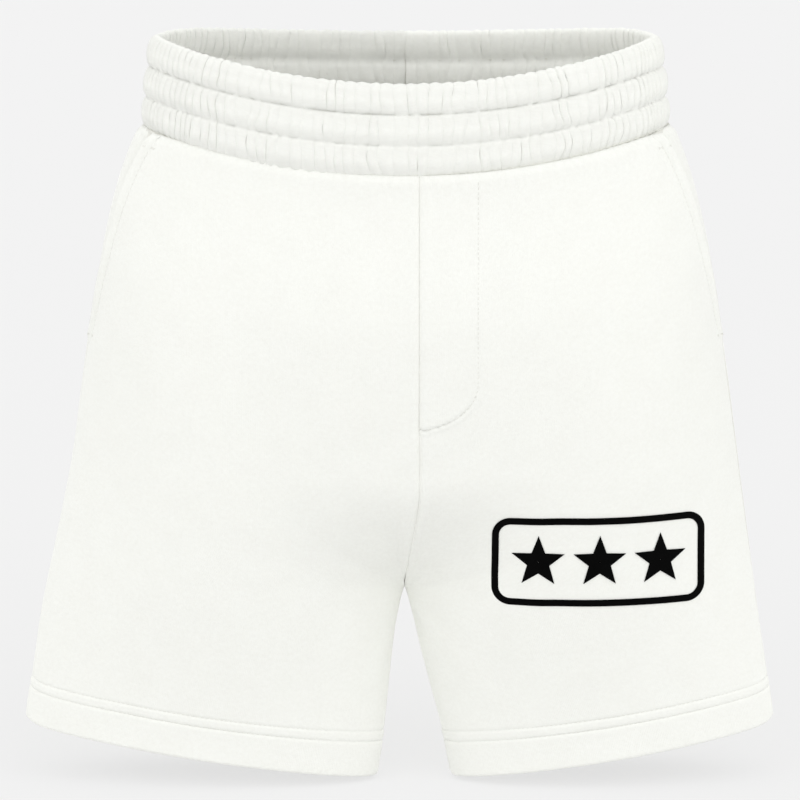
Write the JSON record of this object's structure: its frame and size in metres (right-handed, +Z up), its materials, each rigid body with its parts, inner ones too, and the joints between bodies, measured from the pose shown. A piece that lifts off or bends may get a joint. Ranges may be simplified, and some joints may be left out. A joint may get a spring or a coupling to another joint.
{
  "type": "boxing shorts",
  "caption": "Off-white fleece boxing shorts with a gathered elastic waistband, side pockets, a mock fly, twin-needle hems and a black star print on one leg.",
  "frame": {"origin": "middle of the waist opening, level with the top of the waistband at the sides", "axes": "+Z up out of the waist opening, +X to the wearer's left, -Y to the front"},
  "size_m": [0.4918, 0.1957, 0.496],
  "materials": {
    "fleece": "off-white brushed cotton fleece, matt with a faint nap",
    "lining": "thin off-white cotton jersey, matt",
    "overlock": "overlocked raw edges, off-white thread over fleece",
    "thread": "spun polyester sewing thread, off-white, slight sheen",
    "elastic": "woven elastic, ribbed, white",
    "print_ink": "black transfer print, satin, raised a little from the cloth",
    "label_tape": "blank white satin tape"
  },
  "bodies": {
    "shorts": {"left_front_panel": "fleece", "left_back_panel": "fleece", "left_inseam_overlock": "overlock", "left_side_seam_overlock": "overlock", "left_pocket_bag_front": "lining", "left_pocket_bag_back": "lining", "left_pocket_mouth_stitch": "thread", "left_pocket_bartack_upper": "thread", "left_pocket_bartack_lower": "thread", "left_hem_stitch_lower": "thread", "left_hem_stitch_upper": "thread", "right_front_panel": "fleece", "right_back_panel": "fleece", "right_inseam_overlock": "overlock", "right_side_seam_overlock": "overlock", "right_pocket_bag_front": "lining", "right_pocket_bag_back": "lining", "right_pocket_mouth_stitch": "thread", "right_pocket_bartack_upper": "thread", "right_pocket_bartack_lower": "thread", "right_hem_stitch_lower": "thread", "right_hem_stitch_upper": "thread", "waistband_casing": "fleece", "waist_elastic": "elastic", "waistband_stitching_1": "thread", "waistband_stitching_2": "thread", "waist_seam_overlock": "overlock", "front_rise_overlock": "overlock", "back_rise_overlock": "overlock", "fly_facing": "fleece", "fly_stitching": "thread", "badge_frame_print": "print_ink", "badge_star_print_1": "print_ink", "badge_star_print_2": "print_ink", "badge_star_print_3": "print_ink"},
    "label": {"care_label": "label_tape"}
  },
  "joints": [
    {"name": "care_label_flip", "type": "hinge", "parent": "shorts", "child": "label", "pos_m": [0.20894, 0, -0.25703], "axis": [-0.1396, 0, 0.9902], "range_deg": [0, 85]}
  ]
}
